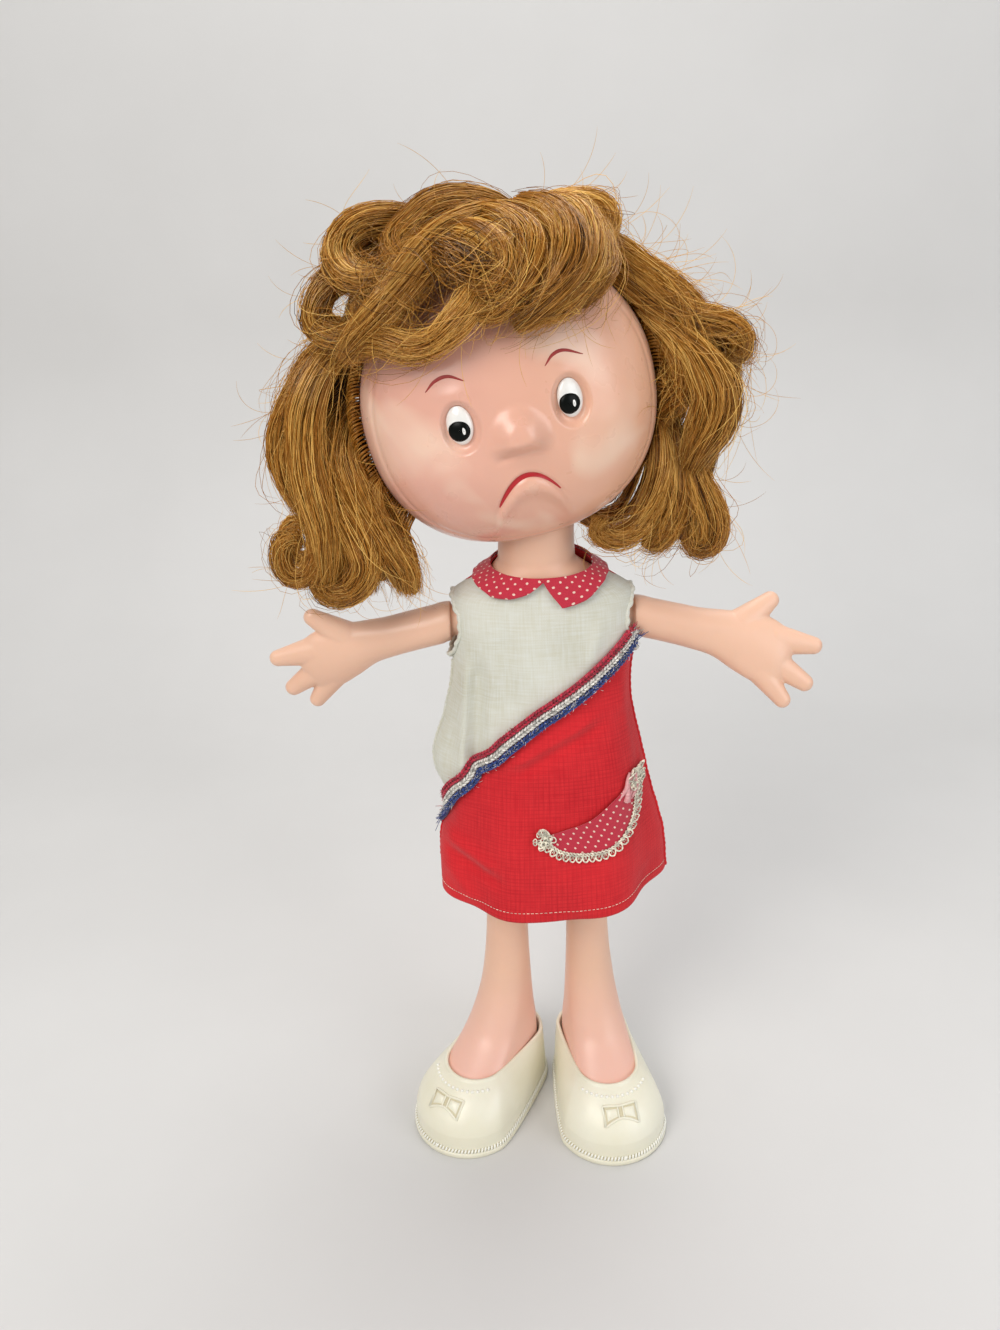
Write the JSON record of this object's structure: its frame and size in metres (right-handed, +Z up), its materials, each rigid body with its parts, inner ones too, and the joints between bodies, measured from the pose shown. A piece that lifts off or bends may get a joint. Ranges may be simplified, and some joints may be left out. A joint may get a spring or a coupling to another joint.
{
  "type": "two-faced doll",
  "caption": "Vinyl play doll with a sad face on the front and a smiling face on the back of its turning head, in a sleeveless linen dress and slip-on shoes.",
  "frame": {"origin": "middle of the part's box, on the plane that it stands on", "axes": "+Z up, -Y the way the sad face looks, +X towards the doll's left hand"},
  "size_m": [0.2418, 0.1098, 0.4282],
  "materials": {
    "skin_vinyl": "satin",
    "face_vinyl": "semi-gloss",
    "plug_plastic": "moulded",
    "hair_fibre": "fibre",
    "shoe_vinyl": "satin",
    "white_linen": "plain weave",
    "red_linen": "plain weave",
    "dotted_cotton": "printed pin dots",
    "crimson_cord": "twisted cord",
    "white_cord": "twisted cord",
    "blue_cord": "twisted cord",
    "cream_lace": "crocheted",
    "nickel": "plated"
  },
  "bodies": {
    "torso": {"torso": "skin_vinyl", "back_underlap": "red_linen", "collar_right_side": "dotted_cotton", "collar_left_side": "dotted_cotton", "pocket": "dotted_cotton", "pocket_lace": "cream_lace", "dress_front_white": "white_linen", "dress_front_red": "red_linen", "dress_back_left": "red_linen", "dress_back_right": "red_linen", "braid_red": "crimson_cord", "braid_white": "white_cord", "braid_blue": "blue_cord", "snap_stud_1": "nickel", "snap_ring_1": "nickel", "snap_stud_2": "nickel", "snap_ring_2": "nickel", "snap_stud_3": "nickel", "snap_ring_3": "nickel"},
    "neck": {"neck_plug": "plug_plastic"},
    "head": {"head_shell": "face_vinyl", "hair_roots": "hair_fibre", "hair_crown_front": "hair_fibre", "hair_crown_back": "hair_fibre", "hair_bunch_right_side": "hair_fibre", "hair_bunch_left_side": "hair_fibre"},
    "arm_right": {"arm_right": "skin_vinyl"},
    "arm_left": {"arm_left": "skin_vinyl"},
    "leg_right": {"leg_right": "skin_vinyl", "shoe_right": "shoe_vinyl"},
    "leg_left": {"leg_left": "skin_vinyl", "shoe_left": "shoe_vinyl"}
  },
  "joints": [
    {"name": "head_turn", "type": "hinge", "parent": "torso", "child": "neck", "pos_m": [-0.002, 0.00174, 0.301], "axis": [0, 0, 1], "continuous": true},
    {"name": "head_rock", "type": "hinge", "parent": "neck", "child": "head", "pos_m": [-0.002, 0.00174, 0.301], "axis": [-0.0872, 0.9962, 0], "range_deg": [-2, 20]},
    {"name": "arm_right_swing", "type": "hinge", "parent": "torso", "child": "arm_right", "pos_m": [-0.039, 0.00174, 0.2595], "axis": [1, 0, 0], "range_deg": [-60, 60]},
    {"name": "arm_left_swing", "type": "hinge", "parent": "torso", "child": "arm_left", "pos_m": [0.039, 0.00174, 0.2595], "axis": [1, 0, 0], "range_deg": [-60, 60]},
    {"name": "leg_right_turn", "type": "hinge", "parent": "torso", "child": "leg_right", "pos_m": [-0.0196, 0.00674, 0.15], "axis": [0, 0, 1], "range_deg": [-22, 25]},
    {"name": "leg_left_turn", "type": "hinge", "parent": "torso", "child": "leg_left", "pos_m": [0.0196, 0.00674, 0.15], "axis": [0, 0, 1], "range_deg": [0, 47]}
  ]
}
